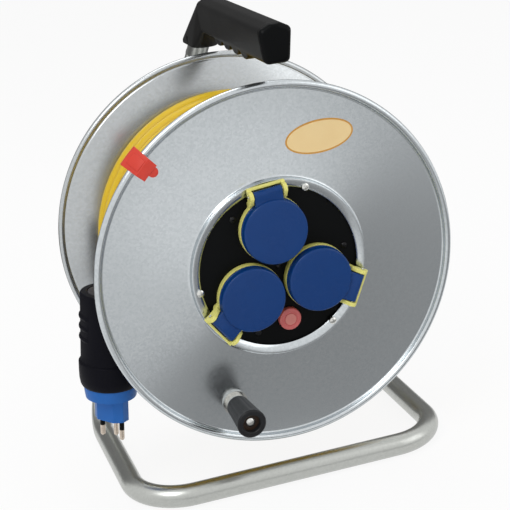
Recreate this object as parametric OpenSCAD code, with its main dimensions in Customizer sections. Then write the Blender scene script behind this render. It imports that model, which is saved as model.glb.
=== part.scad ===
// Extension cord reel: a sheet-steel drum with three covered sockets on a one-sided tube stand.
// Millimetres, +Z up. The origin is on the floor under the middle of the reel; +Y points to the rear.

/* [Drum] */
// Height of the drum's axis above the floor
axis_h = 182; // [176:1:200]
// Place of the front rim's centre plane along Y
drum_front_y = -74; // [-78:1:-70]
// Diameter over the rolled rims
flange_d = 290; // [270:1:296]
// Thickness of the flange sheet
sheet_t = 1.2; // [0.8:0.1:1.6]
// Radius of the rolled rim
bead_r = 4.2; // [3.4:0.1:5]
// Clear width between the flanges
drum_w = 135; // [128:1:140]
// Outer diameter of the barrel
barrel_d = 144; // [144:1:150]
// Wall of the barrel
barrel_t = 1.2; // [0.8:0.1:2]

/* [Front ring and socket plate] */
// Inner radius of the raised ring in the front flange
ring_in_r = 61.5; // [61:0.1:62.5]
// Radius where the flat crest of the raised ring ends
ring_flat_r = 66.5; // [66.4:0.1:67.2]
// Height of the raised ring above the flange
ring_h = 4.5; // [3.5:0.1:4.6]
// Depth of the socket plate's face behind the rim's centre plane
plate_y = 2.5; // [1.5:0.1:3]
// Thickness of the socket plate
plate_t = 3; // [2:0.1:4]
// Depth of the socket box behind the plate
box_l = 46; // [44:1:48]
// Wall of the socket box
box_t = 2; // [1.5:0.1:2.5]
// Radius of the circle of bright ring screws
ring_screw_r = 64.2; // [64:0.1:64.4]
// Radius of the circle of dark plate screws
plate_screw_r = 55; // [54.5:0.1:55.2]

/* [Sockets and lids] */
// Radius of the circle on which the sockets lie
socket_r = 32; // [31.4:0.1:32.3]
// Angle of the first socket, counted from the right
socket_a = 96; // [90:1:100]
// Diameter of a lid
lid_d = 52; // [50:0.5:52.5]
// Height of a lid
lid_h = 7.6; // [6.5:0.1:9]
// Height of a socket's collar above the plate
collar_h = 5.5; // [5:0.1:6]
// Wall of a lid
lid_t = 1.8; // [1.4:0.1:2.2]
// Width of the lid's hinge tab
tab_w = 23; // [20:0.5:24]
// Diameter of the hinge pin
hinge_pin_d = 2.5; // [2:0.1:2.8]
// Diameter of the recess that takes a plug
recess_d = 38.8; // [37:0.1:39.4]
// Pitch of the live and neutral pins
pin_pitch = 19; // [18:0.5:20]
// Offset of the earth pin
earth_off = 5; // [4.5:0.1:5.5]
// Diameter of a plug pin
pin_d = 4; // [3.8:0.1:4.2]

/* [Reset button] */
// Diameter of the reset button's cap
button_d = 18; // [16:0.5:19]
// Radius of the reset button's place
button_r = 44; // [43:0.5:45]
// Angle of the reset button's place
button_a = 276; // [274:1:278]
// Height of the button's cap above the plate
button_h = 4.5; // [3.5:0.1:6]

/* [Crank] */
// Radius of the crank knob's place
crank_r = 114.6; // [110:0.1:115]
// Angle of the crank knob's place
crank_a = 246.3; // [242:0.1:250]
// Diameter of the crank knob at its front
knob_d = 23; // [20:0.5:24]
// Diameter of the crank knob at its base
knob_base_d = 18; // [17:0.5:19]
// Length of the crank knob
knob_l = 36; // [30:1:38]
// Diameter of the crank pin
crank_pin_d = 5.5; // [4.5:0.1:6]

/* [Cable and plug] */
// Diameter of the cable
cable_d = 11; // [10:0.1:11.3]
// Radius of the outer layer at the middle of the cable
wind_r = 110; // [108:0.5:112]
// Clear gap between neighbouring turns of the outer layer
wind_gap = 5; // [4.4:0.1:5.6]
// Radius of the plug's sleeve at its top
sleeve_top_r = 21.5; // [20.5:0.1:21.8]
// Radius of the plug's collar
sleeve_r = 24.5; // [24:0.1:25.5]
// Length of the plug's sleeve
sleeve_l = 77; // [70:1:80]
// Lean of the hanging plug
plug_lean = 5.5; // [3:0.1:7]
// Free length of the plug pins
pin_l = 17; // [15:0.5:19]

/* [Stand] */
// Diameter of the stand's tube
tube_d = 18; // [16:0.5:20]
// Wall of the stand's tube
tube_t = 1.5; // [1:0.1:2]
// Distance between the two floor bars
foot_w = 259; // [240:1:280]
// Place of the front floor bar along Y
foot_y = -76; // [-82:1:-70]
// Place of the uprights along Y
upright_y = 106; // [104:1:112]
// Radius of the tube's bends
bend_r = 42; // [34:1:50]
// Height where the two uprights meet
apex_h = 320; // [318:1:322]
// Forward lean of the neck under the handle
neck_lean = 48; // [46:1:50]
// Length of the neck
neck_l = 34; // [30:0.5:35]
// Diameter of the axle
axle_d = 16; // [14:0.5:18]
// Thickness of the bearing plate
bearing_t = 5; // [4:0.5:6]

/* [Handle] */
// Place of the handle's front end along Y
handle_y = -115; // [-125:1:-105]
// Length of the straight grip
grip_l = 161; // [155:1:165]
// Width of the grip
grip_w = 24; // [22:0.5:28]
// Height of the grip
grip_h = 29; // [27:0.5:31]
// Height of the grip's underside above the floor
grip_z = 347; // [345:0.5:350]
// Length of the handle's foot along Y
leg_l = 46; // [44:0.5:48]

/* [Cable clip] */
// Angle of the clip on the front rim
clip_a = 135; // [120:1:150]
// Width of the clip along the rim
clip_w = 15.5; // [12:0.5:20]

/* [Hidden] */
$fn = 64;

// Clearances: a running fit, a hole over a screw, a loose gap and a cut that passes a face
run_fit = 0.05;
hole_fit = 0.15;
loose = 0.3;
past = 1;

// Planes of the drum along its axis, counted from the front rim's centre plane
sheet_front = bead_r - sheet_t;
sheet_back = bead_r;
rear_in = sheet_back + drum_w;
rear_out = rear_in + sheet_t;
rear_bead = rear_in + bead_r;
bead_c = flange_d / 2 - bead_r;
barrel_r = barrel_d / 2;

// The raised ring, the plate that it clamps and the ring behind the plate
ring_crest = sheet_front - ring_h;
ring_under = ring_crest + sheet_t;
ring_seat_t = 1.5;
ring_seat_in = 59;
plate_rim_r = ring_flat_r - loose / 2;
plate_back = plate_y + plate_t;
plate_seat = plate_back + ring_seat_t;
ring_seat_back = plate_seat + ring_seat_t;
box_r = ring_seat_in - loose;
box_back = plate_back + box_l;

// Screws
ring_screw_d = 3.5;
ring_head_r = 2.6;
ring_head_h = 2.2;
plate_screw_d = 3;
plate_head_r = 2.5;
plate_head_h = 1.6;
plate_screw_l = 16;
boss_r = 3.2;
screw_step = 120;
ring_screw_a = socket_a - 29;
plate_screw_a = socket_a + 31;

// Sockets: a body in the plate, a collar on it and a lid hinged beyond the collar
socket_body_r = 21.4;
socket_step = 0.5;
socket_shoulder_r = 23.5;
socket_shoulder_t = 3;
socket_l = 34.5;
recess_l = 12;
socket_floor_t = 3.5;
contact_r = 3.3;
contact_l = 21;
contact_stub_l = 8;
collar_r = lid_d / 2 + 0.2;
collar_top = plate_y - collar_h;
lid_gap = 0.4;
lid_bottom = collar_top - lid_gap;
lid_top = lid_bottom - lid_h;
lid_round = 1.5;
hinge_x = lid_d / 2 + 6;
hinge_y = lid_bottom - lid_h * 0.6;
hinge_pin_r = hinge_pin_d / 2;
knuckle_r = 2.9;
ear_gap = 0.5;
ear_t = 3;
ear_r = 4;
ear_in = tab_w / 2 + ear_gap;
ear_out = ear_in + ear_t;
spring_w = 9;
spring_wire = 0.6;
spring_curls = 5;
spring_room = 0.3;
pin_over = 1;

// Button and the cut-out behind it
button_stem_d = 6;
button_back = plate_y + 1.5;
button_travel = 2.5;
cutout_y = button_back + button_travel + loose;
cutout_r = 9;
cutout_l = 26;
stem_l = 12;
cutout_rim = 1.4;

// Crank
crank_pin_r = crank_pin_d / 2;
washer_t = 2;
spacer_l = 5.8;
knob_back = sheet_front - washer_t - spacer_l - 0.2;
knob_front = knob_back - knob_l;
knob_recess_r = 7;
knob_recess_l = 5;
knob_flutes = 14;
flute_r = 1.5;
crank_nut_r = 6;
crank_nut_h = 4.5;
crank_pin_over = 2;
crank_head_r = 3.6;
crank_head_h = 2.4;

// Axle
axle_r = axle_d / 2;
hub_r = 14;
hub_front = 72;
hub_back = 158;
hub_flange_r = 34;
hub_flange_t = 5;
hub_rivet_pitch = 24;
rivet_r = 2.5;
rivet_head_r = 4.5;
rivet_head_h = 1.6;
axle_play = 0.2;
axle_washer_t = 1.5;
axle_washer_r = 17;
axle_nut_r = 13;
axle_nut_h = 8;
axle_collar_r = 13;
axle_over = 4;
bearing_back = upright_y - tube_d / 2 - drum_front_y;
bearing_front = bearing_back - bearing_t;
bearing_h = 64;
axle_rear = bearing_back + axle_nut_h + axle_over;
axle_front = hub_front - axle_play - axle_washer_t - axle_nut_h - axle_over;

// Barrel lip, its rivets and the cable's way in
barrel_lip_r = 60;
barrel_rivet_c = 65;
barrel_rivet_r = 2.2;
lead_a = 156;
lead_r = 30;
lead_bend = 33;
lead_end = box_back - 8;
lead_y = box_back + 8 + lead_bend;
grommet_r = 8;
grommet_lip_r = 10;
grommet_lip_t = 1.5;

// Outer layer: its last turn leaves along the tail, which a 3-4-5 triangle sets
wind_end_a = 180 - atan2(4, 3);
wind_pitch = cable_d + wind_gap;
wind_end_y = 61;
wind_start_y = rear_in - cable_d / 2 - 0.5;
wind_turns = (wind_start_y - wind_end_y) / wind_pitch;
wind_start_a = wind_end_a - 360 * wind_turns;
loop_rings = 24;
wind_sides = 6;
wind_steps = ceil(wind_turns * loop_rings);
core_in = barrel_r + loose;
core_r = wind_r * cos(180 / loop_rings) - cable_d / 2 - loose / 2;
core_gap = 0.5;
rise_bend = 50;

// Place of the plug's top beside the drum
plug_out = 18;
plug_behind = 38;
plug_drop = 5;
plug_top = [-wind_r - plug_out, drum_front_y + plug_behind, axis_h - plug_drop];
plug_up = [sin(plug_lean), 0, cos(plug_lean)];

// The cable's free tail: one bend from the winding's straight end round into the plug
tail_lead = 15;
tail_reach = 40;
tail_steps = 16;
tail_sides = 12;
tail_start = wind_r * out_dir(wind_end_a) + tail_lead * along_dir(wind_end_a) + [0, wind_end_y, 0];
tail_from = tail_start + [0, drum_front_y, axis_h];
tail_out = tail_from + tail_reach * along_dir(wind_end_a);
tail_in = plug_top + tail_reach * plug_up;

// Plug, hanging from the tail's lower end
pin_turn = -50;
sleeve_wall = 3;
sleeve_flare = 1.3;
collar_l = 22;
gland_r = 15.5;
gland_l = 6;
insert_r = 21.5;
insert_l = 10;
block_l = 20;
block_w = 28;
block_d = 17;
block_flat = 16;
block_end = 7;
insert_room = 0.1;
plug_face = -sleeve_l - insert_l - block_l;
pin_collar_l = 8;
collar_seat_l = 1;
collar_seat_d = pin_d - 0.4;
pin_root_l = 14;
pin_root_d = 2.8;
rib_r = 2.2;
rib_sink = 1.1;
rib_first = 19;
rib_step = 8.6;
rib_count = 3;
rib_arc = 70;

// Stand: the tube draws in a little where it bends up, and a weld joins the uprights
tube_r = tube_d / 2;
draw_in = 0.05;
weld_r = tube_r + 0.4;
foot_half = foot_w / 2;
lean = atan2(foot_half, apex_h - tube_r);
upright_l = (apex_h - tube_r) / cos(lean);

// Handle
leg_z = grip_z - 16;
leg_slab = 3;
grip_round = 4;
grip_taper = 2.2;
crown_h = 2.5;
crown_w = 5;
cap_l = 5;
cap_inset = 2;
lobe_r = 13;
lobe_drop = 4;
lobe_pitch = 22;
lobe_count = 4;
lobe_in = 3.5;
handle_screw_d = 5;
handle_screw_t = 24;
leg_w = grip_w - 2;
leg_round = 10;

// Cable clip round the front rim
clip_wall = 3;
clip_room = 0.4;
clip_angle = clip_w / bead_c * 180 / PI;
clip_tab_r = 4;

// Placing: the drum's own frame, a place on it, and shapes whose axis runs along Y
module on_drum() {
    translate([0, drum_front_y, axis_h]) children();
}

module at_angle(a, r) {
    rotate([0, -a, 0]) translate([r, 0, 0]) children();
}

module turned() {
    rotate([-90, 0, 0]) rotate_extrude() children();
}

module rod(r, y0, y1) {
    translate([0, y0, 0]) rotate([-90, 0, 0]) cylinder(r = r, h = y1 - y0);
}

module pipe(r_out, r_in, y0, y1) {
    difference() {
        rod(r_out, y0, y1);
        rod(r_in, y0 - past, y1 + past);
    }
}

module hex_nut(r, hole_r, y0, y1) {
    difference() {
        translate([0, y0, 0]) rotate([-90, 0, 0]) cylinder(r = r, h = y1 - y0, $fn = 6);
        rod(hole_r, y0 - past, y1 + past);
    }
}

module pan_screw(r, head_r, head_h, y0, y1) {
    rod(r, y0, y1);
    translate([0, y0, 0]) turned() intersection() {
        translate([0, -head_h]) square([head_r, head_h]);
        translate([0, head_r * 1.6 - head_h]) circle(r = head_r * 1.6);
    }
}

module spread(a, r) {
    for (i = [0 : 2]) at_angle(a + i * screw_step, r) children();
}

// A tube with triangles only, from rings of points
function ring_faces(rings, sides) = [
    for (k = [0 : rings - 2])
        for (j = [0 : sides - 1])
            let (a = k * sides + j, b = k * sides + (j + 1) % sides)
                each [[a, b, a + sides], [b, b + sides, a + sides]]
];
function end_faces(rings, sides) = [
    for (j = [1 : sides - 2])
        let (last = (rings - 1) * sides)
            each [[0, j + 1, j], [last, last + j, last + j + 1]]
];

module ring_tube(points, rings, sides, flip) {
    faces = concat(ring_faces(rings, sides), end_faces(rings, sides));
    polyhedron(points = points, faces = flip ? [for (f = faces) [f[2], f[1], f[0]]] : faces);
}

// Points of one ring about c, in the plane of the unit vectors u and v
function ring_at(c, u, v, r, sides) = [
    for (j = [0 : sides - 1])
        let (a = 360 * j / sides)
            c + r * (cos(a) * u + sin(a) * v)
];

// The outer layer's middle line: a helix with a straight end at each side
function out_dir(a) = [cos(a), 0, sin(a)];
function along_dir(a) = [-sin(a), 0, cos(a)];
function wind_a(k) = wind_end_a - 360 * wind_turns * k / wind_steps;
function wind_y(k) = wind_end_y + (wind_start_y - wind_end_y) * k / wind_steps;
function wind_at(k) = wind_r * out_dir(wind_a(k)) + [0, wind_y(k), 0];
wind_last = wind_at(wind_steps) - cable_d * along_dir(wind_start_a);
wind_line = concat([tail_start], [for (k = [0 : wind_steps]) wind_at(k)], [wind_last]);
wind_angles = concat([wind_end_a], [for (k = [0 : wind_steps]) wind_a(k)], [wind_start_a]);
wind_least_gap = min([
    for (k = [0 : len(wind_line) - 1])
        for (j = [k + loop_rings / 2 : 1 : len(wind_line) - 1])
            norm(wind_line[k] - wind_line[j])
]) - cable_d;
echo("least gap between turns of the winding", wind_least_gap);

// The tail's middle line at t from 0 to 1, and its direction there
function unit(v) = v / norm(v);
function tail_at(t) =
    pow(1 - t, 3) * tail_from + 3 * t * pow(1 - t, 2) * tail_out
    + 3 * t * t * (1 - t) * tail_in + pow(t, 3) * plug_top;
function tail_dir(t) = unit(
    pow(1 - t, 2) * (tail_out - tail_from) + 2 * t * (1 - t) * (tail_in - tail_out)
    + t * t * (plug_top - tail_in)
);

// Lid spring: curls round the hinge pin
spring_mid = hinge_pin_r + spring_wire / 2 + spring_room;
spring_steps = spring_curls * 8;
spring_sides = 6;
function spring_at(k) =
    let (a = 360 * spring_curls * k / spring_steps)
        [spring_mid * cos(a), spring_mid * sin(a), (k / spring_steps - 0.5) * (spring_w - spring_wire)];
spring_points = [
    for (k = [0 : spring_steps])
        let (a = 360 * spring_curls * k / spring_steps)
            each ring_at(spring_at(k), [cos(a), sin(a), 0], [0, 0, 1], spring_wire / 2, spring_sides)
];
echo("least gap between curls of a lid spring", (spring_w - spring_wire) / spring_curls - spring_wire);

// Stand
module tube_line(r) {
    translate([-(foot_half - bend_r), foot_y, tube_r]) rotate([0, 90, 0])
        cylinder(r = r, h = 2 * (foot_half - bend_r));
    for (side = [0, 1]) mirror([side, 0, 0]) {
        translate([foot_half - bend_r, foot_y + bend_r, tube_r]) rotate([0, 0, -90])
            rotate_extrude(angle = 90) translate([bend_r, 0]) circle(r = r);
        translate([foot_half, foot_y + bend_r, tube_r]) rotate([-90, 0, 0])
            cylinder(r = r, h = upright_y - foot_y - 2 * bend_r);
        translate([foot_half, upright_y - bend_r, tube_r]) rotate([0, -lean, 0]) {
            rotate([90, 0, 90]) translate([0, bend_r, 0]) rotate([0, 0, -90])
                rotate_extrude(angle = 90) translate([bend_r, 0]) circle(r = r - draw_in);
            translate([0, bend_r, bend_r]) cylinder(r = r - draw_in, h = upright_l - bend_r);
        }
    }
}

module neck_place() {
    translate([0, upright_y, apex_h]) rotate([neck_lean, 0, 0]) children();
}

module frame_tube() {
    color("silver") difference() {
        union() {
            tube_line(tube_r);
            neck_place() cylinder(r = tube_r, h = neck_l);
            neck_place() sphere(r = weld_r);
        }
        tube_line(tube_r - tube_t);
        neck_place() translate([0, 0, -2 * past]) cylinder(r = tube_r - tube_t, h = neck_l + 3 * past);
        handle_screw_place() cylinder(d = handle_screw_d + 2 * hole_fit, h = 2 * tube_d, center = true);
    }
}

function upright_x(z) = foot_half * (apex_h - z) / (apex_h - tube_r);

module bearing_plate() {
    low = axis_h - bearing_h / 2;
    high = axis_h + bearing_h / 2;
    color("silver") difference() {
        translate([0, upright_y - tube_r, 0]) rotate([90, 0, 0]) linear_extrude(bearing_t)
            polygon([
                [-upright_x(low), low], [upright_x(low), low],
                [upright_x(high), high], [-upright_x(high), high]
            ]);
        on_drum() rod(axle_r + run_fit, bearing_front - past, bearing_back + past);
    }
}

module axle() {
    color("lightsteelblue") on_drum() {
        rod(axle_r, axle_front, axle_rear);
        rod(axle_collar_r, hub_back + axle_washer_t + 2 * axle_play, bearing_front);
    }
}

module axle_washers() {
    color("gainsboro") on_drum() {
        pipe(axle_washer_r, axle_r + run_fit, hub_front - axle_play - axle_washer_t, hub_front - axle_play);
        pipe(axle_washer_r, axle_r + run_fit, hub_back + axle_play, hub_back + axle_play + axle_washer_t);
    }
}

module axle_nuts() {
    front = hub_front - axle_play - axle_washer_t;
    color("gainsboro") on_drum() {
        hex_nut(axle_nut_r, axle_r + run_fit, front - axle_nut_h, front);
        hex_nut(axle_nut_r, axle_r + run_fit, bearing_back, bearing_back + axle_nut_h);
    }
}

// Handle: a straight grip with finger lobes, running into a leg that takes the neck
module grip_section(inset) {
    half = grip_w / 2 - grip_round - inset;
    low_half = half - grip_taper;
    rise = grip_h - grip_round - inset;
    offset(r = grip_round, $fn = 32) polygon([
        [-low_half, grip_round + inset], [low_half, grip_round + inset], [half, rise - crown_h],
        [half - crown_w, rise], [-half + crown_w, rise], [-half, rise - crown_h]
    ]);
}

module grip_slice(y, t, inset) {
    translate([0, y + t, grip_z]) rotate([90, 0, 0]) linear_extrude(t) grip_section(inset);
}

module handle_screw_place() {
    neck_place() translate([0, 0, handle_screw_t]) rotate([0, 90, 0]) children();
}

module handle() {
    grip_front = handle_y + cap_l;
    grip_rear = handle_y + grip_l;
    leg_rear = upright_y + tube_r - 1;
    color("black") difference() {
        union() {
            grip_slice(grip_front, grip_l - cap_l, 0);
            hull() {
                grip_slice(grip_rear - 0.5, 1, 0.2);
                translate([-leg_w / 2 + leg_round, leg_rear - leg_l + leg_round, leg_z])
                    linear_extrude(leg_slab) offset(r = leg_round, $fn = 32)
                        square([leg_w - 2 * leg_round, leg_l - 2 * leg_round]);
            }
            for (i = [0 : lobe_count - 1])
                translate([0, grip_rear - 30 - (i + 0.5) * lobe_pitch, grip_z - lobe_drop + lobe_r])
                    rotate([0, 90, 0]) cylinder(r = lobe_r, h = grip_w - 2 * lobe_in, center = true);
        }
        neck_place() cylinder(r = tube_r + run_fit, h = neck_l + loose);
        neck_place() sphere(r = weld_r + run_fit);
        handle_screw_place() cylinder(d = handle_screw_d + 2 * hole_fit, h = 2 * leg_w, center = true);
    }
}

module handle_end_cap() {
    color("black") hull() {
        grip_slice(handle_y, 0.5, cap_inset);
        grip_slice(handle_y + cap_l / 2, cap_l / 2, 0);
    }
}

// A headless screw across the leg and the neck
module handle_screw() {
    color("dimgray") handle_screw_place() cylinder(d = handle_screw_d, h = leg_w - 1, center = true);
}

// Drum shell: sheet flanges with rolled rims on a barrel
module rolled_rim() {
    translate([bead_c, 0]) difference() {
        circle(r = bead_r);
        circle(r = bead_r - sheet_t);
        translate([-2 * bead_r, 0]) square(2 * bead_r);
    }
}

module raised_ring() {
    translate([ring_in_r, ring_crest]) square([ring_flat_r - ring_in_r, sheet_t]);
    translate([ring_flat_r, sheet_front]) intersection() {
        difference() {
            circle(r = ring_h);
            circle(r = ring_h - sheet_t);
        }
        translate([0, -ring_h]) square(ring_h);
    }
}

module front_flange() {
    ring_foot = ring_flat_r + ring_h - sheet_t;
    color("lightgray") on_drum() difference() {
        turned() {
            rolled_rim();
            raised_ring();
            translate([ring_foot, sheet_front]) square([bead_c - ring_foot, sheet_t]);
        }
        spread(ring_screw_a, ring_screw_r)
            rod(ring_screw_d / 2 + hole_fit, -bead_r - past, sheet_back + past);
        at_angle(crank_a, crank_r) rod(crank_pin_r + hole_fit, -past, sheet_back + past);
    }
}

module rear_flange() {
    color("lightgray") on_drum() difference() {
        translate([0, rear_bead, 0]) mirror([0, 1, 0]) turned() {
            rolled_rim();
            translate([hub_r + hole_fit, sheet_front]) square([bead_c - hub_r - hole_fit, sheet_t]);
        }
        hub_rivet_places() rod(rivet_r + hole_fit, rear_in - past, rear_out + past);
        spread(0, barrel_rivet_c) rod(barrel_rivet_r + hole_fit, rear_in - past, rear_out + past);
    }
}

module barrel() {
    color("darkgray") on_drum() difference() {
        turned() {
            translate([barrel_r - barrel_t, sheet_back]) square([barrel_t, drum_w]);
            translate([barrel_lip_r, rear_in - barrel_t]) square([barrel_r - barrel_lip_r, barrel_t]);
        }
        spread(0, barrel_rivet_c) rod(barrel_rivet_r + hole_fit, rear_in - barrel_t - past, rear_in + past);
        lead_place() rotate([0, 90, 0]) cylinder(r = grommet_r + hole_fit, h = barrel_r + past);
    }
}

module hub_rivet_places() {
    for (i = [0 : 3]) at_angle(45 + 90 * i, hub_rivet_pitch) children();
}

module hub_sleeve() {
    color("ivory") on_drum() difference() {
        union() {
            rod(hub_r, hub_front, hub_back);
            rod(hub_flange_r, rear_out, rear_out + hub_flange_t);
        }
        rod(axle_r + run_fit, hub_front - past, hub_back + past);
        hub_rivet_places() rod(rivet_r + hole_fit, rear_out - past, rear_out + hub_flange_t + past);
    }
}

module rivet(r, head_r, y0, y1) {
    rod(r, y0 - rivet_head_h, y1 + rivet_head_h);
    rod(head_r, y0 - rivet_head_h, y0);
    rod(head_r, y1, y1 + rivet_head_h);
}

module hub_rivets() {
    color("silver") on_drum() hub_rivet_places()
        rivet(rivet_r, rivet_head_r, rear_in, rear_out + hub_flange_t);
}

module barrel_rivets() {
    color("silver") on_drum() spread(0, barrel_rivet_c)
        rivet(barrel_rivet_r, rivet_head_r, rear_in - barrel_t, rear_out);
}

module mounting_ring() {
    color("silver") on_drum() difference() {
        pipe(barrel_r - barrel_t - hole_fit, ring_seat_in, plate_seat, ring_seat_back);
        spread(ring_screw_a, ring_screw_r)
            rod(ring_screw_d / 2 + run_fit, plate_seat - past, ring_seat_back + past);
    }
}

// Socket plate, the box behind it and the screws that hold them
module socket_plate() {
    color("black") on_drum() difference() {
        turned() {
            translate([0, plate_y]) square([plate_rim_r, plate_t]);
            translate([ring_in_r, ring_under]) square([plate_rim_r - ring_in_r, plate_seat - ring_under]);
        }
        spread(socket_a, socket_r) rod(socket_body_r + hole_fit, plate_y - past, plate_back + past);
        spread(ring_screw_a, ring_screw_r)
            rod(ring_screw_d / 2 + hole_fit, ring_under - past, plate_seat + past);
        spread(plate_screw_a, plate_screw_r)
            rod(plate_screw_d / 2 + hole_fit, plate_y - past, plate_back + past);
        rod(plate_screw_d / 2 + hole_fit, plate_y - past, plate_back + past);
        at_angle(button_a, button_r) rod(button_d / 2 + loose, plate_y - past, plate_back + past);
    }
}

module socket_box() {
    color("dimgray") on_drum() difference() {
        union() {
            turned() difference() {
                translate([0, plate_back]) square([box_r, box_l]);
                translate([boss_r, plate_back - past]) square([box_r - box_t - boss_r, box_l - box_t + past]);
            }
            spread(plate_screw_a, plate_screw_r) rod(boss_r, plate_back + 0.2, plate_back + plate_screw_l);
        }
        spread(plate_screw_a, plate_screw_r)
            rod(plate_screw_d / 2 + run_fit, plate_back - past, plate_back + plate_screw_l + past);
        rod(plate_screw_d / 2 + run_fit, plate_back - past, plate_back + plate_screw_l);
        at_angle(lead_a, lead_r) rod(cable_d / 2 + hole_fit, box_back - box_t - past, box_back + past);
    }
}

module ring_screws() {
    color("whitesmoke") on_drum() spread(ring_screw_a, ring_screw_r)
        pan_screw(ring_screw_d / 2, ring_head_r, ring_head_h, ring_crest, ring_seat_back + past);
}

module plate_screws() {
    color("black") on_drum() spread(plate_screw_a, plate_screw_r)
        pan_screw(plate_screw_d / 2, plate_head_r, plate_head_h, plate_y, plate_y + plate_screw_l);
}

module centre_screw() {
    color("dimgray") on_drum()
        pan_screw(plate_screw_d / 2, plate_head_r, plate_head_h, plate_y, plate_y + plate_screw_l);
}

// Sockets
module pin_places() {
    for (s = [-1, 1]) translate([0, 0, s * pin_pitch / 2]) children();
    translate([earth_off, 0, 0]) children();
}

module socket_place(i) {
    on_drum() at_angle(socket_a + i * screw_step, socket_r) children();
}

module socket_body(i) {
    front = collar_top + loose;
    floor_y = front + recess_l;
    color("khaki") socket_place(i) difference() {
        union() {
            rod(socket_body_r, front, plate_back + socket_l);
            rod(socket_shoulder_r, plate_back, plate_back + socket_shoulder_t);
        }
        rod(recess_d / 2, front - past, floor_y + past);
        rod(recess_d / 2 + socket_step, floor_y, plate_back + socket_l + past);
    }
}

// The recess's floor, with the pin holes and the contacts' chambers
module socket_insert(i) {
    floor_y = collar_top + loose + recess_l;
    color("khaki") socket_place(i) difference() {
        rod(recess_d / 2 + socket_step - run_fit, floor_y, plate_back + socket_l);
        pin_places() {
            rod(pin_d / 2 + loose, floor_y - past, floor_y + socket_floor_t + past);
            rod(contact_r + loose / 2, floor_y + socket_floor_t, plate_back + socket_l + past);
        }
    }
}

module socket_body_1() { socket_body(0); }
module socket_body_2() { socket_body(1); }
module socket_body_3() { socket_body(2); }
module socket_insert_1() { socket_insert(0); }
module socket_insert_2() { socket_insert(1); }
module socket_insert_3() { socket_insert(2); }

module socket_contacts() {
    floor_y = collar_top + loose + recess_l + socket_floor_t;
    color("goldenrod") for (i = [0 : 2]) socket_place(i) pin_places() difference() {
        rod(contact_r, floor_y, floor_y + contact_l + contact_stub_l);
        rod(pin_d / 2 + run_fit, floor_y - past, floor_y + contact_l);
    }
}

// A collar's ears stand outside the lid and carry the hinge pin over the raised ring
module ear_outline() {
    foot = collar_r - 5.2;
    shoulder = lid_d / 2 - 2.2;
    bar = hinge_x + ear_r + 1.6;
    bar_y = ring_crest - 1.7;
    ring_edge = sqrt(pow(ring_in_r - loose, 2) - pow(ear_out, 2)) - socket_r;
    difference() {
        union() {
            polygon([
                [foot, plate_y], [min(collar_r - 1, ring_edge - loose), plate_y],
                [ring_edge, ring_crest - loose], [hinge_x + 1, bar_y], [bar, bar_y],
                [bar, bar_y - 3.3], [hinge_x, hinge_y - 2], [hinge_x - 3.4, hinge_y - 2.1],
                [shoulder, hinge_y + 2], [shoulder, collar_top], [foot, collar_top]
            ]);
            translate([hinge_x, hinge_y]) circle(r = ear_r);
        }
        translate([hinge_x, hinge_y]) circle(r = hinge_pin_r + run_fit);
    }
}

module collar(i) {
    bar = hinge_x + ear_r + 1.6;
    bar_y = ring_crest - 1.7;
    color("palegoldenrod") socket_place(i) {
        pipe(collar_r, socket_body_r + hole_fit, collar_top, plate_y);
        for (side = [0, 1]) mirror([0, 0, side]) translate([0, 0, ear_in])
            difference() {
                linear_extrude(ear_t) ear_outline();
                translate([0, 0, -ear_in]) rod(socket_body_r + hole_fit, collar_top - past, plate_y + past);
            }
        translate([bar - 1.8, bar_y - 3.3, -ear_out]) cube([1.8, 3.3, 2 * ear_out]);
    }
}

module collar_1() { collar(0); }
module collar_2() { collar(1); }
module collar_3() { collar(2); }

module lid_profile() {
    difference() {
        union() {
            translate([0, lid_top]) square([lid_d / 2 - lid_round, lid_h]);
            translate([0, lid_top + lid_round]) square([lid_d / 2, lid_h - lid_round]);
            translate([lid_d / 2 - lid_round, lid_top + lid_round]) circle(r = lid_round);
        }
        translate([-past, lid_top + lid_t]) square([lid_d / 2 - lid_t + past, lid_h]);
    }
}

module hinge_rod(r, half) {
    translate([hinge_x, hinge_y, 0]) cylinder(r = r, h = 2 * half, center = true);
}

module lid(i) {
    color("royalblue") socket_place(i) difference() {
        union() {
            turned() intersection() {
                lid_profile();
                translate([0, lid_top]) square([lid_d, lid_h]);
            }
            translate([lid_d / 2 - 4, lid_top, -tab_w / 2])
                cube([hinge_x - lid_d / 2 + 4, hinge_y + knuckle_r - lid_top, tab_w]);
            hinge_rod(knuckle_r, tab_w / 2);
        }
        hinge_rod(hinge_pin_r + run_fit, tab_w);
        hinge_rod(spring_mid + spring_wire / 2 + spring_room, spring_w / 2 + spring_room);
    }
}

module lid_1() { lid(0); }
module lid_2() { lid(1); }
module lid_3() { lid(2); }

module lid_pins() {
    color("silver") for (i = [0 : 2]) socket_place(i) hinge_rod(hinge_pin_r, ear_out + pin_over);
}

module lid_springs() {
    color("silver") for (i = [0 : 2]) socket_place(i) translate([hinge_x, hinge_y, 0])
        ring_tube(spring_points, spring_steps + 1, spring_sides, false);
}

// Reset button and the parts inside the box
module thermal_cutout() {
    color("dimgray") on_drum() at_angle(button_a, button_r) difference() {
        union() {
            rod(cutout_r, cutout_y, cutout_y + cutout_l);
            pipe(button_d / 2 + loose + cutout_rim, button_d / 2 + loose, plate_back, cutout_y);
            pipe(button_d / 2 + loose + cutout_rim, cutout_r - past, cutout_y, cutout_y + cutout_rim);
        }
        rod(button_stem_d / 2 + run_fit, cutout_y - past, cutout_y + stem_l + button_travel);
    }
}

module reset_button() {
    front = plate_y - button_h;
    color("indianred") on_drum() at_angle(button_a, button_r) {
        rod(button_d / 2, front + 1.2, button_back);
        translate([0, front + 1.2, 0]) turned() intersection() {
            translate([0, -1.2]) square([button_d / 2, 1.2]);
            translate([0, 34 - 1.2]) circle(r = 34);
        }
        rod(button_stem_d / 2, button_back, button_back + button_travel + loose + stem_l - past);
    }
}

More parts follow.
